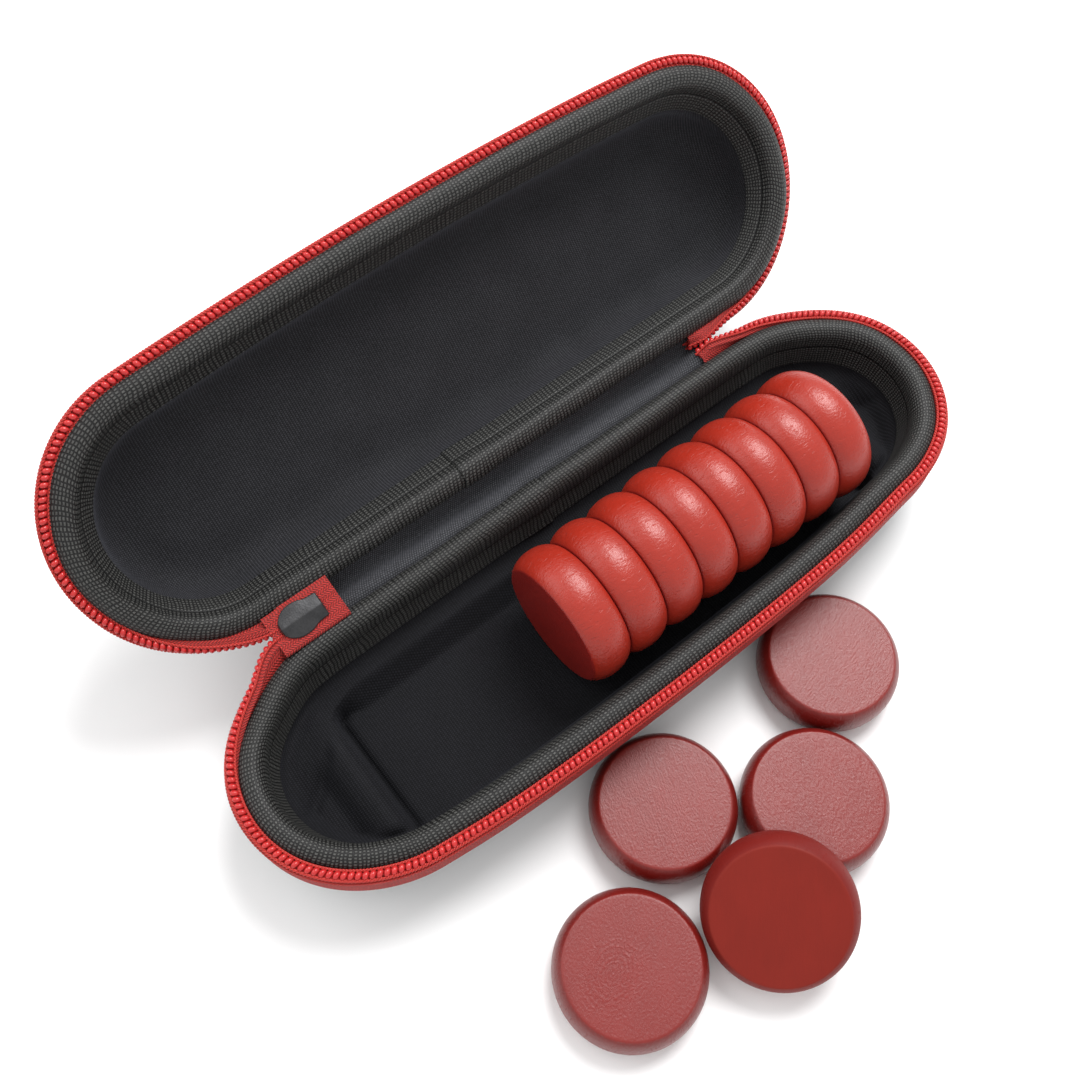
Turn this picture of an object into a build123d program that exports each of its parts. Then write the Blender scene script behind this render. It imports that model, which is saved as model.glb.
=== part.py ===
from build123d import *
import math
import os

# Crokinole disc set in a zipped hard case. Millimetres, +Z up.
# The origin is on the resting surface, under the middle of the case base. +X runs along the case,
# +Y points to the fabric hinge at the back.
os.makedirs("parts", exist_ok=True)

# Rim outline of the case: a straight hinge side, round ends and a slightly bowed front.
half_length = 90.8
end_radius = 26.5
front_reach = 28.5
end_centre_x = half_length - end_radius
bow_radius = (end_centre_x**2 + front_reach**2 - end_radius**2) / (2 * (front_reach - end_radius))

# Heights of one half are measured down from the parting plane, where the two halves meet.
parting_height = 25.0
lid_depth = 20.0
rim_seat = -4.8
skin = 0.8
wall_draft = 8.0
flange_reach = 3.1
flange_bottom = -8.2
body_reach = 0.3
base_edge_radius = 12.0
lid_edge_radius = 9.0

# Spaces inside the halves
cavity_reach = -4.6
tray_draft = 20.0
tray_floor_radius = 2.5
lid_foam_thickness = 3.4
lid_cavity_draft = 10.0
lid_cavity_radius = 6.0

# The lid turns about an axis along X in the parting plane, behind the rim.
hinge_y = 30.2
lid_open_angle = 132.0

# Disc trough in the base
trough_length = 133.0
trough_width = 33.8
trough_floor = 7.1
trough_centre_y = -3.2
trough_corner = 3.0
trough_floor_radius = 1.5
end_block_top = 13.0

# Discs
disc_diameter = 31.8
disc_face_diameter = 28.4
disc_thickness = 10.0
disc_edge_reach = 0.4
disc_edge_depth = 0.2
disc_pitch = 10.1
stored_discs = 8
row_start_x = -19.4
row_height = 23.2

# Binding
binding_outer = -0.9
binding_inner = -4.3
binding_top = -0.6
binding_round = 1.5

# Zip. Each half carries its own side of it, from the start past the slider round to the far end.
coil_inner = 1.2
coil_depth = 1.9
coil_top = -0.3
tape_thickness = 0.6
tape_top = -0.45
tape_bottom = -8.0
zip_start_x = -68.5
zip_end_x = 51.0

# Fabric hinge strip
gusset_half_length = 50.5
gusset_thickness = 0.7
gusset_inset = 3.6
gusset_edge_gap = 0.2
gusset_lift = 0.15
sag_point = (32.0, 20.0)

# Closed end of the zip, behind the slider
chain_start_x = -62.0
chain_end_x = -51.2
chain_width = 9.0

# Slider
slider_mouth_x = -65.2
slider_half_width = 4.2
inner_plate_half_width = 3.7
inner_plate_edge = 0.4
inner_plate_ridge = 1.1
outer_plate_thickness = 1.0
plate_gap = 0.15
# The plates are shields: each point is a distance from the mouth and a share of the half width.
shield_points = [(0.0, 0.3), (0.8, 0.62), (2.3, 0.9), (4.3, 1.0), (6.2, 0.93), (7.8, 0.79), (10.2, 0.76)]
post_x = 1.5
post_length = 2.6
post_width = 1.4
overlap = 0.1

# Crown on the slider
crown_x = 5.0
crown_length = 7.0
crown_height = 3.2
crown_bar = 0.8
crown_foot = 1.6
crown_slope = 0.9
crown_half_width = 0.8

# Pull tab
pull_pin_radius = 0.6
pull_pin_height = 1.2
pull_length = 18.0
pull_thickness = 1.1
pull_lean = 35.0
cheek_inner = 1.05
cheek_outer = 1.95
pull_half_width = 2.5
neck_length = 7.6
neck_taper = 1.2
neck_slot_centre = 1.8
neck_slot_length = 6.4
pull_corner = 1.6

base_plane = Plane((0, 0, parting_height))
open_angle = math.radians(lid_open_angle)
lid_plane = Plane(
    origin=(
        0,
        hinge_y * (1 - math.cos(open_angle)),
        parting_height + hinge_y * math.sin(open_angle),
    ),
    x_dir=(-1, 0, 0),
    z_dir=(0, -math.sin(open_angle), -math.cos(open_angle)),
)


def outline_face(plane, reach):
    """The rim outline on a plane, grown outwards by reach."""
    centre_y = bow_radius - front_reach
    tangent = math.degrees(math.atan2(centre_y, end_centre_x))
    radius = end_radius + reach
    with BuildSketch(plane) as face:
        with BuildLine():
            Line((end_centre_x, radius), (-end_centre_x, radius))
            CenterArc((-end_centre_x, 0), radius, 90, 90 + tangent)
            CenterArc((0, centre_y), bow_radius + reach, 180 + tangent, 180 - 2 * tangent)
            CenterArc((end_centre_x, 0), radius, -tangent, 90 + tangent)
        make_face()
    return face.sketch


def slab(plane, reach, bottom, top):
    """A flat slab of the rim outline between two heights."""
    face = outline_face(plane.offset(bottom), reach)
    with BuildPart() as body:
        extrude(face, amount=top - bottom)
    return body.part


def bowl(plane, reach, top, bottom, draft, edge_radius):
    """A drafted body of the rim outline, narrowing to a rounded bottom edge."""
    face = outline_face(plane.offset(top), reach)
    with BuildPart() as body:
        extrude(face, amount=bottom - top, taper=draft)
        lowest = body.faces().sort_by(Axis(plane.origin, plane.z_dir))[0]
        fillet(lowest.edges(), radius=edge_radius)
    return body.part


def ring(plane, inner, outer, bottom, top):
    """A band that follows the rim, between two reaches and two heights."""
    outside = slab(plane, outer, bottom, top)
    inside = slab(plane, inner, bottom, top)
    with BuildPart() as body:
        add(outside)
        add(inside, mode=Mode.SUBTRACT)
    return body.part


def hinge_side_block(plane, side):
    """The stretch along the hinge side where a half carries no zip of its own."""
    length = zip_end_x - zip_start_x
    block_plane = Plane(
        plane.from_local_coords(Vector(side * (zip_start_x + zip_end_x) / 2, end_radius, 0)),
        x_dir=plane.x_dir,
        z_dir=plane.z_dir,
    )
    with BuildPart() as body:
        with BuildSketch(block_plane.offset(2 * flange_bottom)):
            Rectangle(length, 2 * end_radius)
        extrude(amount=-3 * flange_bottom)
    return body.part


def trough(grow):
    """The disc trough, grown on every side by the thickness of the lining."""
    trough_plane = Plane((0, trough_centre_y, trough_floor - grow))
    with BuildPart() as body:
        with BuildSketch(trough_plane):
            RectangleRounded(trough_length + 2 * grow, trough_width + 2 * grow, trough_corner + grow)
        extrude(amount=end_block_top + trough_corner - trough_floor + grow)
        fillet(body.faces().sort_by(Axis.Z)[0].edges(), radius=trough_floor_radius + grow)
    return body.part


def base_cavity(grow):
    """The space inside the base: a shallow tray over the end blocks, and the trough below it."""
    tray_floor = end_block_top - parting_height - grow
    tray_radius = tray_floor_radius + grow
    tray = bowl(base_plane, cavity_reach - skin + grow, rim_seat, tray_floor, tray_draft, tray_radius)
    pit = trough(grow)
    with BuildPart() as body:
        add(tray)
        add(pit)
    return body.part


def lid_cavity(grow):
    """The space inside the lid: one smooth shallow dish."""
    lid_floor = -lid_depth + skin + lid_foam_thickness + skin - grow
    dish_radius = lid_cavity_radius + grow
    return bowl(
        lid_plane, cavity_reach - skin + grow, rim_seat, lid_floor, lid_cavity_draft, dish_radius
    )


# ---------------------------------------------------------------- the two halves of the case
# Seen in its own plane the lid is turned end for end, so its slider side is the other way round.
halves = [
    ("base", base_plane, parting_height, base_edge_radius, base_cavity, 1),
    ("lid", lid_plane, lid_depth, lid_edge_radius, lid_cavity, -1),
]
for name, plane, depth, edge_radius, cavity, side in halves:
    shell_top = rim_seat - skin
    shell_flange = flange_bottom + skin
    cavity_outer = cavity(skin)
    cavity_inner = cavity(0)
    shell_rim = slab(plane, flange_reach - skin, shell_flange, shell_top)
    shell_bowl = bowl(
        plane, body_reach - skin, shell_flange, skin - depth, wall_draft, edge_radius - skin
    )
    cover_rim = slab(plane, flange_reach, flange_bottom, rim_seat)
    cover_bowl = bowl(plane, body_reach, flange_bottom, -depth, wall_draft, edge_radius)
    cover_mouth = slab(plane, cavity_reach, shell_top, rim_seat)
    binding_band = ring(plane, binding_inner, binding_outer, rim_seat, binding_top)
    tape_band = ring(plane, flange_reach, flange_reach + tape_thickness, tape_bottom, tape_top)
    coil_band = ring(plane, coil_inner, flange_reach, coil_top - coil_depth, coil_top)
    hinge_stretch = hinge_side_block(plane, side)

    with BuildPart() as outer_cover:
        add(cover_rim)
        add(cover_bowl)
        add(shell_rim, mode=Mode.SUBTRACT)
        add(shell_bowl, mode=Mode.SUBTRACT)
        add(cover_mouth, mode=Mode.SUBTRACT)
    outer_cover.part.label = f"{name}_outer_cover"
    export_step(outer_cover.part, f"parts/{name}_outer_cover.step")

    with BuildPart() as foam_shell:
        add(shell_rim)
        add(shell_bowl)
        add(cavity_outer, mode=Mode.SUBTRACT)
    foam_shell.part.label = f"{name}_foam_shell"
    export_step(foam_shell.part, f"parts/{name}_foam_shell.step")

    with BuildPart() as lining:
        add(cavity_outer)
        add(cavity_inner, mode=Mode.SUBTRACT)
    lining.part.label = f"{name}_lining"
    export_step(lining.part, f"parts/{name}_lining.step")

    with BuildPart() as rim_binding:
        add(binding_band)
        top_face = rim_binding.faces().sort_by(Axis(plane.origin, plane.z_dir))[-1]
        fillet(top_face.edges(), radius=binding_round)
    rim_binding.part.label = f"{name}_rim_binding"
    export_step(rim_binding.part, f"parts/{name}_rim_binding.step")

    with BuildPart() as zipper_tape:
        add(tape_band)
        add(hinge_stretch, mode=Mode.SUBTRACT)
    zipper_tape.part.label = f"{name}_zipper_tape"
    export_step(zipper_tape.part, f"parts/{name}_zipper_tape.step")

    with BuildPart() as zipper_coil:
        add(coil_band)
        add(hinge_stretch, mode=Mode.SUBTRACT)
    zipper_coil.part.label = f"{name}_zipper_coil"
    export_step(zipper_coil.part, f"parts/{name}_zipper_coil.step")

# ---------------------------------------------------------------- fabric hinge
# The strip lies on both rims and sags a little between them.
flange_y = end_radius + flange_reach
gusset_height = rim_seat + gusset_thickness / 2 + gusset_lift
base_run = [
    (flange_y - gusset_inset, parting_height + gusset_height),
    (flange_y - gusset_edge_gap, parting_height + gusset_height),
]
lid_run = [
    lid_plane.from_local_coords(Vector(0, flange_y - gusset_edge_gap, gusset_height)),
    lid_plane.from_local_coords(Vector(0, flange_y - gusset_inset, gusset_height)),
]

with BuildPart() as hinge_gusset:
    with BuildSketch(Plane.YZ.offset(-gusset_half_length)):
        with BuildLine():
            Polyline(*base_run, sag_point, *[(point.Y, point.Z) for point in lid_run])
        trace(line_width=gusset_thickness)
    extrude(amount=2 * gusset_half_length)
hinge_gusset.part.label = "hinge_gusset"
export_step(hinge_gusset.part, "parts/hinge_gusset.step")

# ---------------------------------------------------------------- closed end of the zip
# This chain stays halfway between base and lid. Its plane has the travel direction as X, the
# width of the zip as Y and the outward side of the case as Z.
half_angle = open_angle / 2
chain_middle_x = (chain_start_x + chain_end_x) / 2
chain_plane = Plane(
    origin=(0, hinge_y, parting_height),
    x_dir=(1, 0, 0),
    z_dir=(0, math.cos(half_angle), -math.sin(half_angle)),
)
chain_middle_plane = Plane(
    origin=(chain_middle_x, hinge_y, parting_height), x_dir=(1, 0, 0), z_dir=chain_plane.z_dir
)
tape_inner_z = flange_y - hinge_y
coil_inner_z = end_radius + coil_inner - hinge_y

with BuildPart() as zipper_end_tape:
    with BuildSketch(chain_middle_plane.offset(tape_inner_z)):
        Rectangle(chain_end_x - chain_start_x, chain_width)
    extrude(amount=tape_thickness)
zipper_end_tape.part.label = "zipper_end_tape"
export_step(zipper_end_tape.part, "parts/zipper_end_tape.step")

with BuildPart() as zipper_end_coil:
    with BuildSketch(chain_middle_plane.offset(coil_inner_z)):
        Rectangle(chain_end_x - chain_start_x, 2 * coil_depth)
    extrude(amount=tape_inner_z - coil_inner_z)
zipper_end_coil.part.label = "zipper_end_coil"
export_step(zipper_end_coil.part, "parts/zipper_end_coil.step")

# ---------------------------------------------------------------- slider
inner_plate_top_z = coil_inner_z - plate_gap
outer_plate_bottom_z = tape_inner_z + tape_thickness + plate_gap
outer_plate_top_z = outer_plate_bottom_z + outer_plate_thickness
post_plane = Plane(
    origin=chain_plane.from_local_coords(Vector(slider_mouth_x + post_x, 0, 0)),
    x_dir=(1, 0, 0),
    z_dir=chain_plane.z_dir,
)


def plate_outline(half_width):
    """A shield: blunt at the mouth, widest in the middle and drawn in towards the narrow end."""
    one_side = [(slider_mouth_x + x, half_width * share) for x, share in shield_points]
    return one_side + [(x, -y) for x, y in reversed(one_side)]


# The inner plate has a ridge along its middle.
slider_length = shield_points[-1][0]
mouth_plane = Plane(
    origin=chain_plane.from_local_coords(Vector(slider_mouth_x, 0, 0)),
    x_dir=chain_plane.y_dir,
    z_dir=(1, 0, 0),
)
with BuildPart() as inner_plate:
    with BuildSketch(chain_plane.offset(inner_plate_top_z)):
        with BuildLine():
            Polyline(*plate_outline(inner_plate_half_width), close=True)
        make_face()
    extrude(amount=-inner_plate_ridge)
    with BuildSketch(mouth_plane):
        with BuildLine():
            Polyline(
                (-slider_half_width, inner_plate_top_z),
                (slider_half_width, inner_plate_top_z),
                (slider_half_width, inner_plate_top_z - inner_plate_edge),
                (0, inner_plate_top_z - inner_plate_ridge),
                (-slider_half_width, inner_plate_top_z - inner_plate_edge),
                close=True,
            )
        make_face()
    extrude(amount=slider_length, mode=Mode.INTERSECT)

with BuildPart() as zipper_slider_body:
    add(inner_plate.part)
    with BuildSketch(chain_plane.offset(outer_plate_bottom_z)):
        with BuildLine():
            Polyline(*plate_outline(slider_half_width), close=True)
        make_face()
    extrude(amount=outer_plate_thickness)
    with BuildSketch(post_plane.offset(inner_plate_top_z - overlap)):
        SlotOverall(post_length, post_width)
    extrude(amount=outer_plate_bottom_z - inner_plate_top_z + 2 * overlap)
zipper_slider_body.part.label = "zipper_slider_body"
export_step(zipper_slider_body.part, "parts/zipper_slider_body.step")

# The crown is drawn from the side, standing on the outer plate.
crown_side_plane = Plane(
    origin=chain_plane.from_local_coords(Vector(slider_mouth_x + crown_x, 0, outer_plate_top_z)),
    x_dir=(1, 0, 0),
    z_dir=-chain_plane.y_dir,
)
crown_eye = (
    (-crown_length / 2 + crown_foot, 0),
    (-crown_length / 2 + crown_foot, crown_height - crown_bar),
    (crown_length / 2 - crown_foot, crown_height - crown_bar),
    (crown_length / 2 - crown_foot, 0),
)

with BuildPart() as zipper_slider_crown:
    with BuildSketch(crown_side_plane):
        with BuildLine():
            Polyline(
                (-crown_length / 2, 0),
                (-crown_length / 2 + crown_slope, crown_height),
                (crown_length / 2 - crown_slope, crown_height),
                (crown_length / 2, 0),
                crown_eye[3],
                crown_eye[2],
                crown_eye[1],
                crown_eye[0],
                close=True,
            )
        make_face()
    extrude(amount=crown_half_width, both=True)
zipper_slider_crown.part.label = "zipper_slider_crown"
export_step(zipper_slider_crown.part, "parts/zipper_slider_crown.step")

# The pull swings on its own pin, which passes through the crown.
lean = math.radians(pull_lean)
pull_origin = crown_side_plane.from_local_coords(Vector(0, pull_pin_height, 0))
pull_direction = crown_side_plane.x_dir * math.sin(lean) + crown_side_plane.y_dir * math.cos(lean)
pull_normal = pull_direction.cross(crown_side_plane.z_dir)
pull_plane = Plane(origin=pull_origin, x_dir=pull_direction, z_dir=pull_normal)
pull_pin_plane = Plane(pull_origin, x_dir=pull_direction, z_dir=crown_side_plane.z_dir)
neck_slot_plane = Plane(
    origin=pull_origin + pull_direction * neck_slot_centre, x_dir=pull_direction, z_dir=pull_normal
)

with BuildPart() as zipper_pull_tab:
    with BuildSketch(pull_plane.offset(-pull_thickness / 2)):
        with BuildLine():
            Polyline(
                (0, cheek_outer),
                (neck_length, cheek_outer),
                (neck_length + neck_taper, pull_half_width),
                (pull_length, pull_half_width),
                (pull_length, -pull_half_width),
                (neck_length + neck_taper, -pull_half_width),
                (neck_length, -cheek_outer),
                (0, -cheek_outer),
                close=True,
            )
        make_face()
        fillet(vertices().sort_by(Axis.X)[-2:], radius=pull_corner)
    extrude(amount=pull_thickness)
    with BuildSketch(neck_slot_plane.offset(-pull_thickness)):
        Rectangle(neck_slot_length, 2 * cheek_inner)
    extrude(amount=2 * pull_thickness, mode=Mode.SUBTRACT)
    with BuildSketch(pull_pin_plane):
        Circle(pull_pin_radius)
    extrude(amount=cheek_outer, both=True)
zipper_pull_tab.part.label = "zipper_pull_tab"
export_step(zipper_pull_tab.part, "parts/zipper_pull_tab.step")

# ---------------------------------------------------------------- discs
# Each disc is placed by the centre of its lower face and the direction of its turning axis.
row_planes = [
    Plane(
        origin=(row_start_x + number * disc_pitch, trough_centre_y, row_height),
        x_dir=(0, 0, 1),
        z_dir=(1, 0, 0),
    )
    for number in range(stored_discs)
]
flat_discs = [(28.8, -42.9), (-21.8, -44.7), (4.3, -63.8), (-48.4, -65.2)]
flat_planes = [Plane((x, y, 0)) for x, y in flat_discs]
leaning_axis = Vector(-0.392, -0.202, 0.897).normalized()
leaning_centre = Vector(-18.5, -75.5, 10.95)
leaning_plane = Plane(
    origin=leaning_centre - leaning_axis * (disc_thickness / 2), x_dir=(0, -1, 0), z_dir=leaning_axis
)


def turned_disc(plane):
    """A disc with flat faces and a full round rim, turned about the plane's normal."""
    profile_plane = Plane(plane.origin, x_dir=plane.x_dir, z_dir=-plane.y_dir)
    face_radius = disc_face_diameter / 2
    shoulder_radius = face_radius + disc_edge_reach
    with BuildPart() as body:
        with BuildSketch(profile_plane):
            with BuildLine():
                Polyline(
                    (shoulder_radius, disc_thickness - disc_edge_depth),
                    (face_radius, disc_thickness),
                    (0, disc_thickness),
                    (0, 0),
                    (face_radius, 0),
                    (shoulder_radius, disc_edge_depth),
                )
                ThreePointArc(
                    (shoulder_radius, disc_edge_depth),
                    (disc_diameter / 2, disc_thickness / 2),
                    (shoulder_radius, disc_thickness - disc_edge_depth),
                )
            make_face()
        revolve(axis=Axis(plane.origin, plane.z_dir), revolution_arc=360)
    return body.part


for number, plane in enumerate(row_planes + flat_planes + [leaning_plane], start=1):
    disc_body = turned_disc(plane)
    with BuildPart() as disc:
        add(disc_body)
    disc.part.label = f"disc_{number:02d}"
    export_step(disc.part, f"parts/disc_{number:02d}.step")
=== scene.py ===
import math

import bmesh
import bpy
import numpy as np
from mathutils import Matrix, Vector


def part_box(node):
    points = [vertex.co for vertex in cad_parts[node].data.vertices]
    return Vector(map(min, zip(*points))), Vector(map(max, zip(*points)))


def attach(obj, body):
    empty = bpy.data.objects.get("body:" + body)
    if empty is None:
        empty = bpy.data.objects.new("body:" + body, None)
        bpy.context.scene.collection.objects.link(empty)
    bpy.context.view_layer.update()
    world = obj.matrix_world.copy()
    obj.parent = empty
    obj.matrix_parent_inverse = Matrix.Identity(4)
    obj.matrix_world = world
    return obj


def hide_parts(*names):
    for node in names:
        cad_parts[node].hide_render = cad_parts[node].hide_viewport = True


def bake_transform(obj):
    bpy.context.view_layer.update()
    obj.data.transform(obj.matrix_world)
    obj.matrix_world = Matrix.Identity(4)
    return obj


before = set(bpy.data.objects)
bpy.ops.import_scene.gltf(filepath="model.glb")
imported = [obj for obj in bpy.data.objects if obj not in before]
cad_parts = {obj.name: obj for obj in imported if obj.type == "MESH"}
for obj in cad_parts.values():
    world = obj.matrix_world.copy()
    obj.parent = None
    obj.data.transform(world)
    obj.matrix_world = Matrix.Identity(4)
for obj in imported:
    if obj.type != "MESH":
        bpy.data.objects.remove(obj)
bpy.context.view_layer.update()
scene = bpy.context.scene
MM = 0.001

# ------------------------------------------------------------------ shape of the case, in mm
HALF_LENGTH, END_R, FRONT = 90.8, 26.5, 28.5
END_X = HALF_LENGTH - END_R
BOW_R = (END_X**2 + FRONT**2 - END_R**2) / (2 * (FRONT - END_R))
BOW_Y = BOW_R - FRONT
LEAN = math.atan2(BOW_Y, END_X)
S_LEFT = END_X
S_FRONT = S_LEFT + END_R * (math.pi / 2 + LEAN)
S_RIGHT = S_FRONT + BOW_R * (math.pi - 2 * LEAN)
S_BACK = S_RIGHT + END_R * (math.pi / 2 + LEAN)
RIM = S_BACK + END_X
PARTING, HINGE_Y, OPEN = 25.0, 30.2, math.radians(132)
ZIP_START, ZIP_END = S_LEFT + 4.2, S_BACK + END_X - 50.0
PITCH = 1.39
HALVES = ("base", "lid")
BODY = {"base": "case_base", "lid": "case_lid"}


def rim(s):
    """Points of the rim outline and their outward normals.

    s runs from the middle of the hinge side towards -X.
    """
    s = np.mod(np.asarray(s, float), RIM)
    a2 = math.pi / 2 + (s - S_LEFT) / END_R
    a3 = math.pi + LEAN + (s - S_FRONT) / BOW_R
    a4 = -LEAN + (s - S_RIGHT) / END_R
    part = [s < S_LEFT, s < S_FRONT, s < S_RIGHT, s < S_BACK]
    flat = np.full_like(s, math.pi / 2)
    a = np.select(part, [flat, a2, a3, a4], flat)
    r = np.select(part, [flat * 0 + END_R, flat * 0 + END_R, flat * 0 + BOW_R, flat * 0 + END_R], END_R)
    cx = np.select(part, [-s, flat * 0 - END_X, flat * 0, flat * 0 + END_X], RIM - s)
    cy = np.select(part, [flat * 0, flat * 0, flat * 0 + BOW_Y, flat * 0], 0.0)
    n = np.stack([np.cos(a), np.sin(a)], -1)
    return np.stack([cx, cy], -1) + r[..., None] * n, n


def place(half, x, y, d):
    """A place in one half as a point of the frame, in metres.

    d is its height over the half's parting plane, so it is negative inside the half.
    """
    x, y, d = np.broadcast_arrays(np.asarray(x, float), y, d)
    if half == "base":
        return np.stack([x, y, PARTING + d], -1) * MM
    c, s = math.cos(-OPEN), math.sin(-OPEN)
    return np.stack([x, HINGE_Y + (y - HINGE_Y) * c + d * s, PARTING + (y - HINGE_Y) * s - d * c], -1) * MM


def smoothstep(x, low, high):
    t = np.clip((np.asarray(x, float) - low) / (high - low), 0, 1)
    return t * t * (3 - 2 * t)


def bump(s, at, width):
    return np.exp(-(((np.mod(s, RIM) - at) / width) ** 2))


# where the base's soft rim draws in: place along the rim, width and depth
BASE_DRAWN_IN = ((78, 13, 1.9), (136, 18, 1.5), (282, 19, 1.7), (345, 14, 1.7))


def lean(half, s, d):
    """How far the soft rim stands outside its moulded outline.

    The base draws in at its corners, and the open lid splays out on its free side.
    """
    s = np.mod(s, RIM)
    if half == "base":
        out = -sum(depth * bump(s, at, width) for at, width, depth in BASE_DRAWN_IN)
        return out * smoothstep(d, -17, -6)
    out = 0.3 + 2.4 * smoothstep(s, 80, 150) * (1 - smoothstep(s, 262, 350)) - 0.5 * bump(s, 60, 9)
    return out * smoothstep(d, -8.8, -2.4)


def along(half, s, reach, d):
    """Points beside the rim, from arrays of place along it, outward reach and height."""
    s, reach, d = np.broadcast_arrays(np.asarray(s, float), reach, d)
    reach = reach + lean(half, s, d)
    p, n = rim(s)
    return place(half, p[..., 0] + n[..., 0] * reach, p[..., 1] + n[..., 1] * reach, d)


def soften(points, times=2, closed=False):
    """Rounds a line by cutting its corners. An open line keeps its two ends."""
    p = np.array(points, float)
    for _ in range(times):
        a, b = (p, np.roll(p, -1, 0)) if closed else (p[:-1], p[1:])
        cut = np.stack([0.75 * a + 0.25 * b, 0.25 * a + 0.75 * b], 1).reshape(-1, p.shape[1])
        p = cut if closed else np.concatenate([p[:1], cut[1:-1], p[-1:]])
    return p


def lengths(p):
    """Distance along a line of points, from its start."""
    return np.concatenate([[0.0], np.cumsum(np.linalg.norm(np.diff(p, axis=0), axis=1))])


# ------------------------------------------------------------------ mesh code
def new_object(name, verts, faces, uv=None, materials=(), smooth=True, merge=0.0):
    mesh = bpy.data.meshes.new(name)
    mesh.from_pydata(np.asarray(verts).tolist(), [], [tuple(f) for f in faces])
    if uv is not None:
        layer = mesh.uv_layers.new(name="UVMap")
        layer.data.foreach_set("uv", np.asarray(uv, np.float32).ravel())
    if merge:
        bm = bmesh.new()
        bm.from_mesh(mesh)
        bmesh.ops.remove_doubles(bm, verts=bm.verts, dist=merge)
        bm.to_mesh(mesh)
        bm.free()
    mesh.polygons.foreach_set("use_smooth", [smooth] * len(mesh.polygons))
    for m in materials:
        mesh.materials.append(m)
    ob = bpy.data.objects.new(name, mesh)
    scene.collection.objects.link(ob)
    return ob


def grid_faces(nu, nv, wrap_u, wrap_v, flip):
    iu, iv = np.meshgrid(np.arange(nu - (not wrap_u)), np.arange(nv - (not wrap_v)), indexing="ij")
    ju, jv = (iu + 1) % nu, (iv + 1) % nv
    q = np.stack([iu * nv + iv, ju * nv + iv, ju * nv + jv, iu * nv + jv], -1).reshape(-1, 4)
    c = np.stack([iu, iv, iu + 1, iv, iu + 1, iv + 1, iu, iv + 1], -1).reshape(-1, 4, 2)
    return (q[:, ::-1], c[:, ::-1]) if flip else (q, c)


def grid(name, p, u, v, wrap_u=False, wrap_v=False, flip=False, material=None, merge=0.0):
    """A mesh from a grid of points.

    u and v are the texture's place, in mm, for each row and each column, or full grids.
    """
    nu, nv = p.shape[:2]
    q, c = grid_faces(nu, nv, wrap_u, wrap_v, flip)
    if np.ndim(u) == 1:
        u, v = np.meshgrid(u, v, indexing="ij")
    uv = np.stack([u[c[..., 0], c[..., 1]], v[c[..., 0], c[..., 1]]], -1)
    return new_object(name, p.reshape(-1, 3), q, uv, [material] if material else [], merge=merge)


def join(name, objects):
    """Joins meshes into the first and names it."""
    with bpy.context.temp_override(
        active_object=objects[0],
        object=objects[0],
        selected_objects=objects,
        selected_editable_objects=objects,
    ):
        bpy.ops.object.join()
    objects[0].name = objects[0].data.name = name
    return objects[0]


def tube(name, path, side, radius, u, material, rings=6):
    """A tube round a line of points. side is a direction across the line at each point."""
    t = np.gradient(path, axis=0)
    t /= np.linalg.norm(t, axis=1)[:, None]
    e1 = side - (side * t).sum(1)[:, None] * t
    e1 /= np.linalg.norm(e1, axis=1)[:, None]
    e2 = np.cross(t, e1)
    a = np.arange(rings) * 2 * math.pi / rings
    radius = np.broadcast_to(np.asarray(radius, float), (len(path),))[:, None, None] * MM
    ring = np.cos(a)[None, :, None] * e1[:, None] + np.sin(a)[None, :, None] * e2[:, None]
    p = path[:, None] + radius * ring
    ends = [p.mean(1)[0], p.mean(1)[-1]]
    p[0] = p[0] * 0.3 + ends[0] * 0.7
    p[-1] = p[-1] * 0.3 + ends[1] * 0.7
    return grid(name, p, u, np.arange(rings + 1) * 0.3, wrap_v=True, material=material)


# ------------------------------------------------------------------ materials
DISC_R = 15.9


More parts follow.
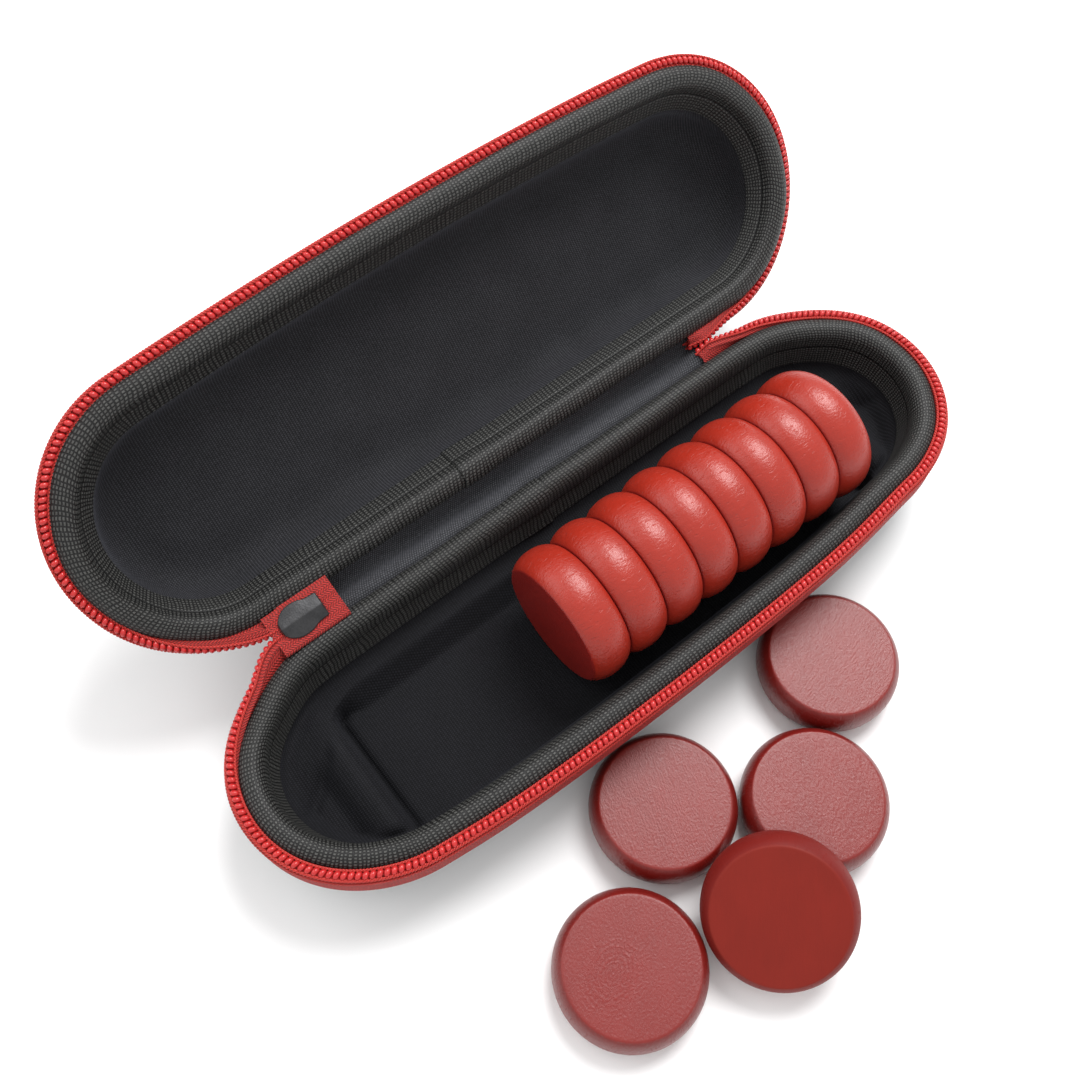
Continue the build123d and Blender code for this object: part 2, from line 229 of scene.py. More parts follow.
class Shade:
    """A Principled material and short ways to add nodes to it."""

    def __init__(self, name, **values):
        self.m = bpy.data.materials.new(name)
        self.m.use_nodes = True
        self.nt = self.m.node_tree
        self.bsdf = self.nt.nodes["Principled BSDF"]
        for key, value in values.items():
            self.bsdf.inputs[key.replace("_", " ")].default_value = value

    def node(self, kind, **settings):
        n = self.nt.nodes.new(kind)
        for k, v in settings.items():
            setattr(n, k, v)
        return n

    def put(self, socket, value):
        if isinstance(value, bpy.types.NodeSocket):
            self.nt.links.new(value, socket)
        else:
            socket.default_value = value

    def math(self, op, a, b=0.0, c=0.0):
        n = self.node("ShaderNodeMath", operation=op)
        for i, x in enumerate((a, b, c)):
            self.put(n.inputs[i], x)
        return n.outputs[0]

    def add(self, a, b):
        return self.math("ADD", a, b)

    def sub(self, a, b):
        return self.math("SUBTRACT", a, b)

    def mul(self, a, b):
        return self.math("MULTIPLY", a, b)

    def mul_add(self, a, b, c):
        """a times b, plus c."""
        return self.math("MULTIPLY_ADD", a, b, c)

    def abs(self, a):
        return self.math("ABSOLUTE", a)

    def uv(self):
        n = self.node("ShaderNodeUVMap", uv_map="UVMap")
        xyz = self.node("ShaderNodeSeparateXYZ")
        self.nt.links.new(n.outputs[0], xyz.inputs[0])
        return n.outputs[0], xyz.outputs[0], xyz.outputs[1]

    def vector(self, x, y, z=0.0):
        n = self.node("ShaderNodeCombineXYZ")
        for i, v in enumerate((x, y, z)):
            self.put(n.inputs[i], v)
        return n.outputs[0]

    def noise(self, vector, scale, detail=2.0, roughness=0.5):
        n = self.node("ShaderNodeTexNoise")
        self.nt.links.new(vector, n.inputs["Vector"])
        n.inputs["Scale"].default_value = scale
        n.inputs["Detail"].default_value = detail
        n.inputs["Roughness"].default_value = roughness
        return n.outputs[0]

    def wave(self, x, pitch):
        """0 to 1 and back once in each pitch."""
        a = self.math("COSINE", self.mul(x, 2 * math.pi / pitch))
        return self.mul_add(a, 0.5, 0.5)

    def ramp(self, fac, low, high):
        """0 below low and 1 above high, with a soft step between them."""
        n = self.node("ShaderNodeMapRange", interpolation_type="SMOOTHSTEP")
        self.put(n.inputs[0], fac)
        n.inputs[1].default_value, n.inputs[2].default_value = low, high
        return n.outputs[0]

    def colour(self, fac, a, b):
        n = self.node("ShaderNodeMix", data_type="RGBA")
        self.put(n.inputs[0], fac)
        for socket, value in ((n.inputs[6], a), (n.inputs[7], b)):
            self.put(socket, value if isinstance(value, bpy.types.NodeSocket) else (*value, 1))
        return n.outputs[2]

    def paint(self, colour):
        self.put(self.bsdf.inputs["Base Color"], colour)

    def rough(self, value):
        self.put(self.bsdf.inputs["Roughness"], value)

    def bump(self, height, depth_mm):
        n = self.node("ShaderNodeBump")
        n.inputs["Strength"].default_value = 1.0
        n.inputs["Distance"].default_value = depth_mm * MM
        self.put(n.inputs["Height"], height)
        self.nt.links.new(n.outputs[0], self.bsdf.inputs["Normal"])


def ribbed_binding(name, crest, groove):
    """Black grosgrain: ribs across the tape, cut into cells by its warp.

    crest and groove are the places across the tape of the bead's crest and of the stitched groove.
    """
    s = Shade(name, Specular_IOR_Level=0.4)
    vec, u, v = s.uv()
    drift = s.noise(vec, 0.14, 2.0)
    fine = s.noise(vec, 1.7, 3.0, 0.7)
    slant = s.mul(s.ramp(v, crest - 0.5, crest + 3.0), 0.9)
    u2 = s.add(s.add(u, slant), s.mul_add(drift, 2.2, s.mul(fine, 0.25)))
    v2 = s.add(v, s.mul(s.wave(u2, 1.9), 0.12))
    rib = s.ramp(s.wave(u2, 0.95), 0.06, 0.52)
    pair = s.mul_add(s.wave(u2, 1.9), 0.25, 0.75)
    rows = s.ramp(s.wave(s.mul_add(fine, 0.16, v2), 0.66), 0.08, 0.55)
    seam = s.ramp(s.abs(s.sub(v, groove)), 0.0, 0.45)
    height = s.mul(s.mul(rib, rows), seam)
    # The colour follows the height: the gaps between ribs and rows and the stitched groove are painted dark,
    # as painted shade, under a random tone from the noise.
    wear_and_painted_shade = s.mul(s.mul(height, pair), s.mul_add(fine, 1.3, 0.35))
    s.paint(s.colour(wear_and_painted_shade, (0.0020, 0.0020, 0.0019), (0.068, 0.068, 0.064)))
    s.rough(s.mul_add(fine, 0.25, 0.42))
    s.bump(height, 0.26)
    return s.m


def knit(name, dark, light, pitch_u=0.62, pitch_v=0.46, depth=0.10, turn=0.0, sheen=0.10):
    """A fine warp knit: small loops in staggered columns, and a soft larger unevenness."""
    s = Shade(name, Roughness=0.85, Specular_IOR_Level=0.2, Sheen_Weight=sheen, Sheen_Roughness=0.45)
    s.bsdf.inputs["Sheen Tint"].default_value = (0.6, 0.62, 0.75, 1)
    vec, u, v = s.uv()
    fine = s.noise(vec, 1.3, 3.0, 0.7)
    broad = s.noise(vec, 0.09, 2.0, 0.5)
    if turn:
        c, k = math.cos(turn), math.sin(turn)
        u, v = (
            s.add(s.mul(u, c), s.mul(v, -k)),
            s.add(s.mul(u, k), s.mul(v, c)),
        )
    u = s.mul_add(fine, 0.20, u)
    odd = s.math("GREATER_THAN", s.math("FRACT", s.mul(u, 0.5 / pitch_u)), 0.5)
    column = s.wave(s.add(u, pitch_u / 2), pitch_u)
    loop = s.wave(s.mul_add(odd, pitch_v / 2, v), pitch_v)
    height = s.mul(s.mul_add(column, 0.7, 0.3), s.mul_add(loop, 0.7, 0.3))
    # The colour follows the loops' height: darker between the loops, as painted shade, with a random tone
    # from the two noises.
    shade = s.mul(height, s.add(s.mul(fine, 1.5), s.mul_add(broad, 0.6, -0.15)))
    s.paint(s.colour(shade, dark, light))
    s.bump(height, depth)
    return s.m


def red_nylon(name, kind):
    """Red zip parts: a woven tape, a thread or the moulded coil."""
    s = Shade(name, Specular_IOR_Level=0.5)
    vec, u, v = s.uv()
    fine = s.noise(vec, 1.6, 3.0, 0.6)
    if kind == "coil":
        s.paint(s.colour(fine, (0.38, 0.010, 0.012), (0.60, 0.030, 0.028)))
        s.rough(0.24)
    elif kind == "thread":
        twist = s.wave(s.mul_add(v, 0.9, u), 0.34)
        # The thread's colour darkens with its twist: painted shade between the strands, with a random tone
        # from the noise.
        s.paint(s.colour(s.mul(twist, s.mul_add(fine, 0.8, 0.6)), (0.26, 0.006, 0.006), (0.66, 0.040, 0.026)))
        s.rough(0.55)
        s.bump(twist, 0.05)
    else:
        zig = s.abs(s.sub(s.math("FRACT", s.mul(v, 0.55)), 0.5))
        rib = s.wave(s.add(s.mul_add(zig, 1.9, u), s.mul(fine, 0.35)), 0.66)
        row = s.wave(s.mul_add(fine, 0.3, v), 0.50)
        height = s.mul(s.mul_add(rib, 0.75, 0.25), s.mul_add(row, 0.45, 0.55))
        # The tape's colour follows the weave's height: darker between its ribs and rows, as painted shade,
        # with a random tone from the noise.
        wear_and_painted_shade = s.mul(height, s.mul_add(fine, 0.9, 0.55))
        s.paint(s.colour(wear_and_painted_shade, (0.055, 0.002, 0.002), (0.62, 0.032, 0.024)))
        s.rough(0.68)
        s.bump(height, 0.26)
    return s.m


def woven_shell(name):
    """Black woven cloth laminated to the moulded shell."""
    s = Shade(name, Roughness=0.6, Specular_IOR_Level=0.35)
    vec, u, v = s.uv()
    fine = s.noise(vec, 1.4, 3.0, 0.6)
    broad = s.noise(vec, 0.08, 2.0)
    warp, weft = s.wave(u, 0.84), s.wave(v, 0.84)
    over = s.wave(s.add(u, v), 0.84)
    height = s.add(s.mul(warp, over), s.mul(weft, s.sub(1.0, over)))
    # The colour follows the weave's height: darker where the threads dip, as painted shade, with a random
    # tone from the noise.
    shade = s.mul(height, s.add(s.mul(fine, 0.7), s.mul_add(broad, 0.5, 0.2)))
    s.paint(s.colour(shade, (0.008, 0.008, 0.009), (0.060, 0.060, 0.063)))
    s.rough(s.mul_add(fine, 0.2, 0.48))
    s.bump(height, 0.14)
    return s.m


def lacquered_wood(name, seed, face, rim_colour, roughness, rings=0.0, relief=0.075, shine=0.5):
    """Red-stained wood under a thin lacquer.

    The grain attribute holds each point's place in the disc, in mm, with the disc's axis along z.
    """
    s = Shade(name, Specular_IOR_Level=shine)
    a = s.node("ShaderNodeAttribute", attribute_name="grain")
    xyz = s.node("ShaderNodeSeparateXYZ")
    s.nt.links.new(a.outputs["Vector"], xyz.inputs[0])
    x, y, z = xyz.outputs
    on_face = s.ramp(s.abs(z), 4.6, 4.9)
    off_face = s.sub(1.0, on_face)
    face_streak = s.noise(s.vector(s.mul(x, 0.32), s.mul(y, 2.6), seed * 3.1), 1.0, 4.0, 0.75)
    turn = s.mul(s.math("ARCTAN2", y, x), DISC_R)
    rim_streak = s.noise(s.vector(s.mul(turn, 1.1), s.mul(z, 0.35), seed * 1.7), 1.0, 3.0, 0.65)
    streak = s.add(s.mul(face_streak, on_face), s.mul(rim_streak, off_face))
    blotch = s.noise(s.vector(s.mul(x, 0.10), s.mul(y, 0.15), s.mul_add(z, 0.2, seed * 7.3)), 1.0, 2.0, 0.5)
    peel = s.noise(s.vector(x, s.mul(y, 1.3), s.add(z, seed * 9.1)), 1.7, 3.0, 0.6)
    if rings:
        dx, dy = s.add(x, 3.2), s.add(y, -2.6)
        r = s.math("SQRT", s.add(s.mul(dx, dx), s.mul(dy, s.mul(dy, 1.6))))
        ring = s.wave(s.add(r, s.add(s.mul(blotch, 5.0), s.mul(peel, 0.9))), 1.15)
        fade = s.mul(s.sub(1.0, s.ramp(r, 5.0, 9.5)), s.ramp(peel, 0.40, 0.60))
        streak = s.add(streak, s.mul(s.mul(ring, fade), rings))
    nick_at = s.noise(s.vector(s.mul(turn, 1.5), s.mul(z, 0.50), seed * 5.0 + 2), 1.0, 2.0, 0.4)
    nick = s.mul(s.ramp(nick_at, 0.60, 0.70), off_face)
    tone = s.add(s.mul(streak, 0.45), s.mul(blotch, 0.55))
    rim_c = s.colour(tone, tuple(c * 0.80 for c in rim_colour), tuple(min(c * 1.16, 1) for c in rim_colour))
    face_c = s.colour(tone, tuple(c * 0.78 for c in face), tuple(min(c * 1.18, 1) for c in face))
    s.paint(s.colour(on_face, rim_c, face_c))
    s.rough(s.add(s.mul_add(streak, 0.14, roughness), s.mul(nick, 0.15)))
    height = s.sub(s.add(streak, s.mul_add(peel, 1.1, s.mul(blotch, 0.5))), s.mul(nick, 0.55))
    s.bump(height, relief)
    return s.m


def gunmetal(name):
    s = Shade(name, Metallic=0.7, Specular_IOR_Level=0.5)
    vec = s.node("ShaderNodeTexCoord").outputs["Object"]
    fine = s.noise(vec, 2600.0, 3.0, 0.6)
    wear_and_painted_shade = s.noise(vec, 320.0, 2.0)
    s.paint(s.colour(s.mul_add(wear_and_painted_shade, 0.6, s.mul(fine, 0.4)), (0.006, 0.006, 0.007), (0.085, 0.085, 0.088)))
    s.rough(s.mul_add(fine, 0.22, 0.30))
    s.bump(fine, 0.045)
    return s.m


# ------------------------------------------------------------------ the two halves of the case
COVER = woven_shell("Cover_fabric")
# The same knit lines both halves; the lid's copy is given lighter colours and the base's copy darker ones, as
# painted light in the lid's open dish and painted shade in the base's deep trough.
LINING = {
    "base": knit("Lining_knit_base", (0.0012, 0.0012, 0.0016), (0.017, 0.017, 0.021), sheen=0.04),
    "lid": knit("Lining_knit_lid", (0.0020, 0.0020, 0.0024), (0.047, 0.047, 0.053)),
}
GUSSET = knit("Gusset_knit", (0.004, 0.004, 0.005), (0.105, 0.107, 0.118), 0.52, 0.50, 0.10, turn=0.5)
TAPE, THREAD, COIL = (red_nylon("Zip_" + k, k) for k in ("tape", "thread", "coil"))
METAL = gunmetal("Gunmetal")

# Cross-sections across the rim: outward reach from the rim outline, and height.
BEADS = {
    "base": [
        (-0.7, -4.9), (-0.1, -3.7), (0.05, -2.2), (-0.45, -0.8), (-1.7, -0.1),
        (-3.1, 0.0), (-4.4, -0.6), (-5.2, -1.9), (-5.45, -3.6), (-5.7, -4.7),
    ],
    "lid": [
        (0.0, -4.9), (0.6, -3.8), (0.85, -2.5), (0.35, -1.0), (-1.2, -0.1),
        (-2.6, 0.0), (-3.8, -0.4), (-4.7, -1.5), (-5.0, -2.6), (-5.3, -3.2),
    ],
}
STRIPS = {
    "base": [(-5.45, -4.85), (-5.75, -5.6), (-6.2, -7.2), (-6.85, -9.2), (-7.15, -9.7), (-6.95, -10.2)],
    "lid": [(-5.1, -3.25), (-5.5, -3.5), (-6.1, -4.9), (-6.65, -6.3), (-6.8, -6.8), (-6.3, -7.2)],
}
LINING_WALLS = {
    "base": [
        (-4.9, -3.9), (-5.35, -5.2), (-5.9, -6.9), (-6.7, -9.2), (-7.5, -11.2), (-8.6, -12.0), (-10.2, -12.0),
    ],
    "lid": [
        (-4.9, -3.6), (-5.7, -4.8), (-6.3, -6.2), (-6.7, -8.4),
        (-7.2, -11.0), (-8.6, -13.4), (-10.9, -14.7), (-14.0, -15.0),
    ],
}
FLANGE = [
    (-2.0, -4.95), (1.2, -4.85), (1.9, -4.85), (2.25, -5.1), (2.35, -6.6), (2.3, -7.9), (2.0, -8.2),
    (1.0, -8.25), (0.5, -8.5),
]
LID_INSET = 0.8
WALL_TOP = (0.3, -8.8)
DRAFT = math.radians(8)
DEPTH, BOTTOM_ROUND = {"base": 25.0, "lid": 20.0}, {"base": 12.0, "lid": 9.0}
RIM_STEPS, COVER_FILL, LINING_FILL = 620, 14, 52
MERGE = 2e-5
s_rim = np.arange(0, RIM_STEPS) * RIM / RIM_STEPS


def cover_profile(half):
    """The outer cover's section: its flange, its drafted wall and the round edge of its bottom."""
    depth, radius = DEPTH[half], BOTTOM_ROUND[half]
    foot = WALL_TOP[0] - (depth - 8.2) * math.tan(DRAFT)
    top = FLANGE
    if half == "lid":
        top = [(x - LID_INSET * (x > 1.5), z) for x, z in top]
    inner = foot - radius * (1 - math.sin(DRAFT)) / math.cos(DRAFT)
    angles = np.linspace(DRAFT, math.pi / 2, 14)
    curve = [(inner + radius * math.cos(a), -(depth - radius) - radius * math.sin(a)) for a in angles]
    start = curve[0]
    x0, z0 = WALL_TOP
    wall = [(x0 + (start[0] - x0) * t, z0 + (start[1] - z0) * t) for t in (0.0, 0.35, 0.7)]
    return np.array(top + wall + curve)


def radial(half, prof, fill):
    """Sweeps a profile round the rim and carries its last ring in to the middle of the half."""
    p, n = rim(s_rim)
    out = prof[:, 0] + lean(half, s_rim[:, None], prof[:, 1])
    x, y = p[:, None, 0] + n[:, None, 0] * out, p[:, None, 1] + n[:, None, 1] * out
    d = np.broadcast_to(prof[:, 1], x.shape)
    mx = np.clip(p[:, 0], -END_X, END_X)
    my = -1.0 * (1 - (mx / END_X) ** 2)
    t = np.linspace(0, 1, fill + 1)[1:]
    x = np.concatenate([x, x[:, -1:] + (mx[:, None] - x[:, -1:]) * t], 1)
    y = np.concatenate([y, y[:, -1:] + (my[:, None] - y[:, -1:]) * t], 1)
    d = np.concatenate([d, np.broadcast_to(prof[-1, 1], (len(p), fill))], 1)
    spread = lengths(prof)
    away = spread[-1] - spread + prof[-1, 0]
    u = p[:, None, 0] + n[:, None, 0] * away
    v = p[:, None, 1] + n[:, None, 1] * away
    u = np.concatenate([u, x[:, -fill:]], 1)
    v = np.concatenate([v, y[:, -fill:]], 1)
    return x, y, d, np.concatenate([u, u[:1]]), np.concatenate([v, v[:1]])


def trough_depth(x, y):
    """How far the base lining dips below its tray floor, and where the end blocks swell."""
    hx, hy, r, middle = 66.5, 16.9, 3.0, -3.2
    qx, qy = np.abs(x) - hx + r, np.abs(y - middle) - hy + r
    sd = np.hypot(np.maximum(qx, 0), np.maximum(qy, 0)) + np.minimum(np.maximum(qx, qy), 0) - r
    beside = smoothstep(y, 4, 9) * (1 - smoothstep(np.abs(x), 58, 64))
    at_end = smoothstep(np.abs(x), 62, 65)
    dip = -5.9 * (1 - smoothstep((sd + 0.4 * at_end) / (1 + 1.6 * beside - 0.45 * at_end), -1.1, 0.9))
    dip = dip - 1.3 * at_end * np.exp(-(((sd + 1.3) / 1.1) ** 2))
    before_end = 1 - smoothstep(np.abs(x), 62, 66)
    shoulder = -0.35 * np.exp(-np.maximum(sd, 0) / 1.6) * smoothstep(sd, -1.0, 0.6) * before_end
    beyond = np.abs(x) - hx
    block = smoothstep(beyond, -0.2, 1.6)
    wall = END_R - 8.0 - np.hypot(np.maximum(np.abs(x) - END_X, 0), np.abs(y + 0.4))
    ridge = 2.3 * np.exp(-(((beyond - 3.0) / 3.2) ** 2)) * (1 - 0.75 * smoothstep(y, 4, 12))
    valley = -2.5 * smoothstep(beyond, 5.5, 10.0) * (1 - smoothstep(y, 0, 9)) * smoothstep(y, -20, -13)
    swell = block * smoothstep(wall, 0.2, 3.0) * (ridge + valley)
    fold = np.exp(-(((y - 6.5 + (beyond - 4.0) * 0.75) / 1.7) ** 2))
    crease = -1.1 * block * fold * smoothstep(beyond, 2.5, 6.0)
    return dip + shoulder + swell + crease


for half in HALVES:
    body, lid = BODY[half], half == "lid"
    # outer cover
    prof = cover_profile(half)
    x, y, d, u, v = radial(half, prof, COVER_FILL)
    points = place(half, x, y, d)
    cover = grid(f"{half}_cover_skin", points, u, v, wrap_u=True, flip=not lid, material=COVER, merge=MERGE)
    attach(cover, body)
    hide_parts(f"{half}_outer_cover", f"{half}_foam_shell")

    # lining
    prof = soften(LINING_WALLS[half], 2)
    x, y, d, u, v = radial(half, prof, LINING_FILL)
    if lid:
        d = d + 0.35 * np.cos(x / 31.0) * smoothstep(-d, 12, 15)
    else:
        inward = smoothstep(-np.concatenate([prof[:, 0], np.full(LINING_FILL, -12.0)]), 7.0, 9.6)
        d = d + trough_depth(x, y) * inward
    points = place(half, x, y, d)
    cloth = LINING[half]
    lining = grid(f"{half}_lining_cloth", points, u, v, wrap_u=True, flip=lid, material=cloth, merge=MERGE)
    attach(lining, body)
    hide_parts(f"{half}_lining")

    # binding: the bead, the stitched groove and the flat strip below it
    bead = soften(BEADS[half], 2)
    strip = soften(STRIPS[half], 2)
    prof = np.concatenate([bead, strip])
    v = lengths(prof)
    long = lengths(bead)[-1]
    mat = ribbed_binding(f"Binding_{half}", long * 0.56, long + 0.15)
    wob = 0.12 * np.sin(s_rim / 7.3)[:, None] + 0.08 * np.sin(s_rim / 2.9 + 1.0)[:, None]
    on_bead = np.concatenate([np.sin(np.linspace(0, math.pi, len(bead))), np.zeros(len(strip))])
    p = along(half, s_rim[:, None], prof[:, 0] + wob * on_bead * 0.6, prof[:, 1] + wob * on_bead * 0.5)
    binding = grid(f"{half}_binding_roll", p, np.append(s_rim, RIM), v, wrap_u=True, flip=lid, material=mat)
    # where the binding's end laps over its start, on the hinge side
    run = np.concatenate([[0.0, 0.05], np.linspace(0.35, 13, 34)])
    lap_s = 14.5 - run if lid else 0.5 + run
    lift = np.where(run < 0.04, -0.1, 0.42 * (1 - smoothstep(run, 2.0, 13.0)) - 0.02)
    normal = np.gradient(prof, axis=0)
    normal = np.stack([normal[:, 1], -normal[:, 0]], -1) / np.linalg.norm(normal, axis=1)[:, None]
    normal *= np.sign(normal[len(bead) // 2, 1])
    raised = prof + normal * lift[:, None, None]
    points = along(half, lap_s[:, None], raised[..., 0], raised[..., 1])
    lap = grid(f"{half}_lap", points, lap_s + 300.4, v + 0.2, material=mat)
    binding = join(f"{half}_binding_roll", [binding, lap])
    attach(binding, body)
    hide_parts(f"{half}_rim_binding")

# ------------------------------------------------------------------ zip
TURN_LENGTH, TURN_ANGLE = 34.0, math.radians(62)
THREAD_LINES = ((-1.0, 0.15), (1.0, 0.12))
EDGE_THREAD = {"base": (1.35, -0.75), "lid": (1.0, -1.0)}
TAPE_THICKNESS = 0.32
LEAD = ZIP_START + 6.5


def near_ends(s):
    """1 where a zip tape leaves the fabric hinge or the slider, fading to 0 further round the rim."""
    start = 1 - smoothstep(s - ZIP_START, 0.0, TURN_LENGTH)
    end = 1 - smoothstep(ZIP_END - s, 0.0, TURN_LENGTH * 0.8)
    return np.maximum(start, end)


def coil_line(half, s):
    """Reach, height and tilt of the coil's middle. It lies over, facing up, near the ends of the zip."""
    turn = near_ends(s)
    start = 1 - smoothstep(s - ZIP_START, -2.0, 9.0)
    end = 1 - smoothstep(ZIP_END - s, 0.0, 14.0)
    out = lean(half, s, 0.0)
    reach = (1.2 if half == "base" else 1.55) + 0.5 * turn + start * (0.5 - out) + end * (1.4 - out)
    sag = -0.5 * (1 - start) - 1.2 * bump(s, 333, 20) if half == "lid" else 0.0
    dive = -2.3 * (1 - smoothstep(ZIP_END - s, 0.0, 4.0))
    height = -1.3 + 1.1 * turn + 1.15 * start + 0.5 * end + sag + dive
    return reach, height, TURN_ANGLE * turn


def turned(half, s, across, up):
    """Reach and height of a point beside the coil's middle, turned with it."""
    r, d, tilt = coil_line(half, s)
    return r + across * np.cos(tilt) + up * np.sin(tilt), d - across * np.sin(tilt) + up * np.cos(tilt)


def phase(half, s):
    """Turns of the coil up to each s, by length along its own line."""
    r, d, tilt = coil_line(half, s)
    return lengths(along(half, s, r, d)) / MM / PITCH


def coil(name, half, s0, s1):
    s = np.linspace(s0, s1, int((s1 - s0) / PITCH * 13))
    a = phase(half, s) * 2 * math.pi
    path = along(half, s, *turned(half, s, 0.47 * np.cos(a), 0.42 * np.sin(a)))
    side = path - along(half, s, *turned(half, s, 0.0, 0.0))
    head = smoothstep(np.sin(a), -0.1, 0.9)
    return tube(name, path, side, 0.38 + 0.23 * head, s, COIL, 8)


def braid(name, half, s0, s1, across, up):
    """Two strands that twist round each other: one line of the chain stitch that holds the coil."""
    s = np.linspace(s0, s1, int((s1 - s0) / PITCH * 9))
    turns = phase(half, s)
    strands = []
    for k in (0, 1):
        a = turns * 2 * math.pi + k * math.pi
        path = along(half, s, *turned(half, s, across + 0.17 * np.cos(a), up + 0.13 * np.sin(a)))
        side = along(half, s, *turned(half, s, 5.0, 0.0)) - path
        strands.append(tube(f"{name}_{k}", path, side, 0.20, s, THREAD, 5))
    return join(name, strands)


def tape_band(name, half, s):
    """The tape from its inner edge, under the coil, over and down its outer face to the edge of the shell."""
    under = soften([(-1.15, -0.95), (-1.05, -0.25), (-0.6, 0.02), (0.6, 0.02), (1.05, -0.25), (1.2, -0.9)], 1)
    down = soften([(2.25, -4.4), (2.6, -6.2), (2.72, -7.9)], 1)
    if half == "lid":
        down = down - np.array([LID_INSET, 0.0])
    r0, d0 = turned(half, s[:, None], under[:, 0], under[:, 1])
    r = np.concatenate([r0, np.broadcast_to(down[:, 0], (len(s), len(down)))], 1)
    d = np.concatenate([d0, np.broadcast_to(down[:, 1], (len(s), len(down)))], 1)
    v = np.concatenate([lengths(under), lengths(under)[-1] + 3.3 + lengths(down)])
    band = grid(name, along(half, s[:, None], r, d), s, v, flip=half == "lid", material=TAPE)
    points = along(half, s[:, None], r - TAPE_THICKNESS, d - 0.1)
    inside = grid(name + "_in", points, s, v, flip=half == "base", material=TAPE)
    return join(name, [band, inside])


def tape_facing(name, half, s):
    """The tape's inner face, seen beside the binding where the tape lies over."""
    turn = near_ends(s)
    t = np.linspace(0, 1, 9)
    r1, d1 = turned(half, s, -0.95, 0.05)
    r0, d0 = 1.0 - 1.7 * turn, -3.9 + 1.2 * turn
    rr = r0[:, None] + (r1 - r0)[:, None] * t
    dd = d0[:, None] + (d1 - d0)[:, None] * t + (0.9 * turn)[:, None] * np.sin(math.pi * t)
    return grid(name, along(half, s[:, None], rr, dd), s, t * 4.4 + 1.0, flip=half == "lid", material=TAPE)


for half in HALVES:
    body = BODY[half]
    run = [
        tape_band("t1", half, np.arange(LEAD, ZIP_END, 0.7)),
        tape_facing("t2", half, np.arange(LEAD, LEAD + 30, 0.6)),
        tape_facing("t3", half, np.arange(ZIP_END - 30, ZIP_END, 0.6)),
    ]
    tape = join(f"{half}_zip_tape", run)
    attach(tape, body)
    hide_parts(f"{half}_zipper_tape")
    teeth = coil(f"{half}_zip_coil", half, LEAD, ZIP_END - 0.4)
    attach(teeth, body)
    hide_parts(f"{half}_zipper_coil")
    lines = (*THREAD_LINES, EDGE_THREAD[half])
    threads = [braid(f"b{k}", half, LEAD, ZIP_END, *line) for k, line in enumerate(lines, 1)]
    threads = join(f"{half}_zip_threads", threads)
    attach(threads, body)
    # the stretch that runs up into the slider
    s = np.arange(ZIP_START - 3.4, LEAD + 0.5, 0.5)
    run = [tape_band("l1", half, s), tape_facing("l2", half, s), coil("l3", half, s[0], s[-1])]
    run += [braid(f"l{k}", half, s[0], s[-1], *line) for k, line in enumerate(THREAD_LINES, 4)]
    run = join(f"{half}_zip_lead", run)
    if half == "base":
        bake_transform(run)
    else:
        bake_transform(run)

# closed end of the zip, behind the slider
half_turn = OPEN / 2
CHAIN_X = np.array([1.0, 0, 0])
CHAIN_Y = np.array(Vector((0, -math.sin(half_turn), -math.cos(half_turn))))
CHAIN_Z = np.array(Vector((0, math.cos(half_turn), -math.sin(half_turn))))
CHAIN_O = np.array([0, HINGE_Y, PARTING])
END_START, WING_START, END_STOP, END_STEPS = -67.2, -68.2, -51.2, 34


def chain(x, y, z):
    """A point of the frame, in metres, from the closed chain's own directions, in mm.

    x is along the chain, y across it (+ is the base's side) and z outward.
    """
    x, y, z = np.broadcast_arrays(np.asarray(x, float), y, z)
    return (CHAIN_O + x[..., None] * CHAIN_X + y[..., None] * CHAIN_Y + z[..., None] * CHAIN_Z) * MM


xs = np.linspace(END_START, END_STOP, END_STEPS)
loop = [
    (-4.3, -2.3), (-1.2, -2.55), (0.0, -2.40), (1.2, -2.55), (5.3, -2.75),
    (5.3, -2.35), (1.2, -2.1), (-1.2, -2.1), (-4.3, -1.9),
]
loop = soften(loop, 1, True)
v = np.append(lengths(loop), lengths(loop)[-1] + 0.4)
end_parts = [grid("end_patch", chain(xs[:, None], loop[:, 0], loop[:, 1]), xs, v, wrap_v=True, material=TAPE)]
loop = np.array([(-4.4, -0.55), (-1.9, -0.5), (-1.9, -0.1), (-4.4, -0.1)])
for k in (1, -1):
    points = chain(xs[:, None], loop[:, 0] * k, loop[:, 1])
    strip = grid(f"end_outer{k}", points, xs, np.arange(5.0), wrap_v=True, flip=k < 0, material=TAPE)
    end_parts.append(strip)
end_tape = join("end_zip_tape", end_parts)
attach(end_tape, "zipper_end")
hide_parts("zipper_end_tape")
coil_start, coil_length, off_middle, depth = -65.0, 13.6, 0.62, -1.15
x = np.linspace(coil_start, -51.4, int(coil_length / PITCH * 12))
coils = []
for k in (1, -1):
    a = x / PITCH * 2 * math.pi + (0 if k > 0 else math.pi)
    mid = chain(x, off_middle * k, depth)
    path = chain(x, off_middle * k + 0.80 * np.cos(a), depth + 0.70 * np.sin(a))
    coils.append(tube(f"c{k}", path, path - mid, 0.30, x, COIL))
end_coil = join("end_zip_coil", coils)
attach(end_coil, "zipper_end")
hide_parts("zipper_end_coil")

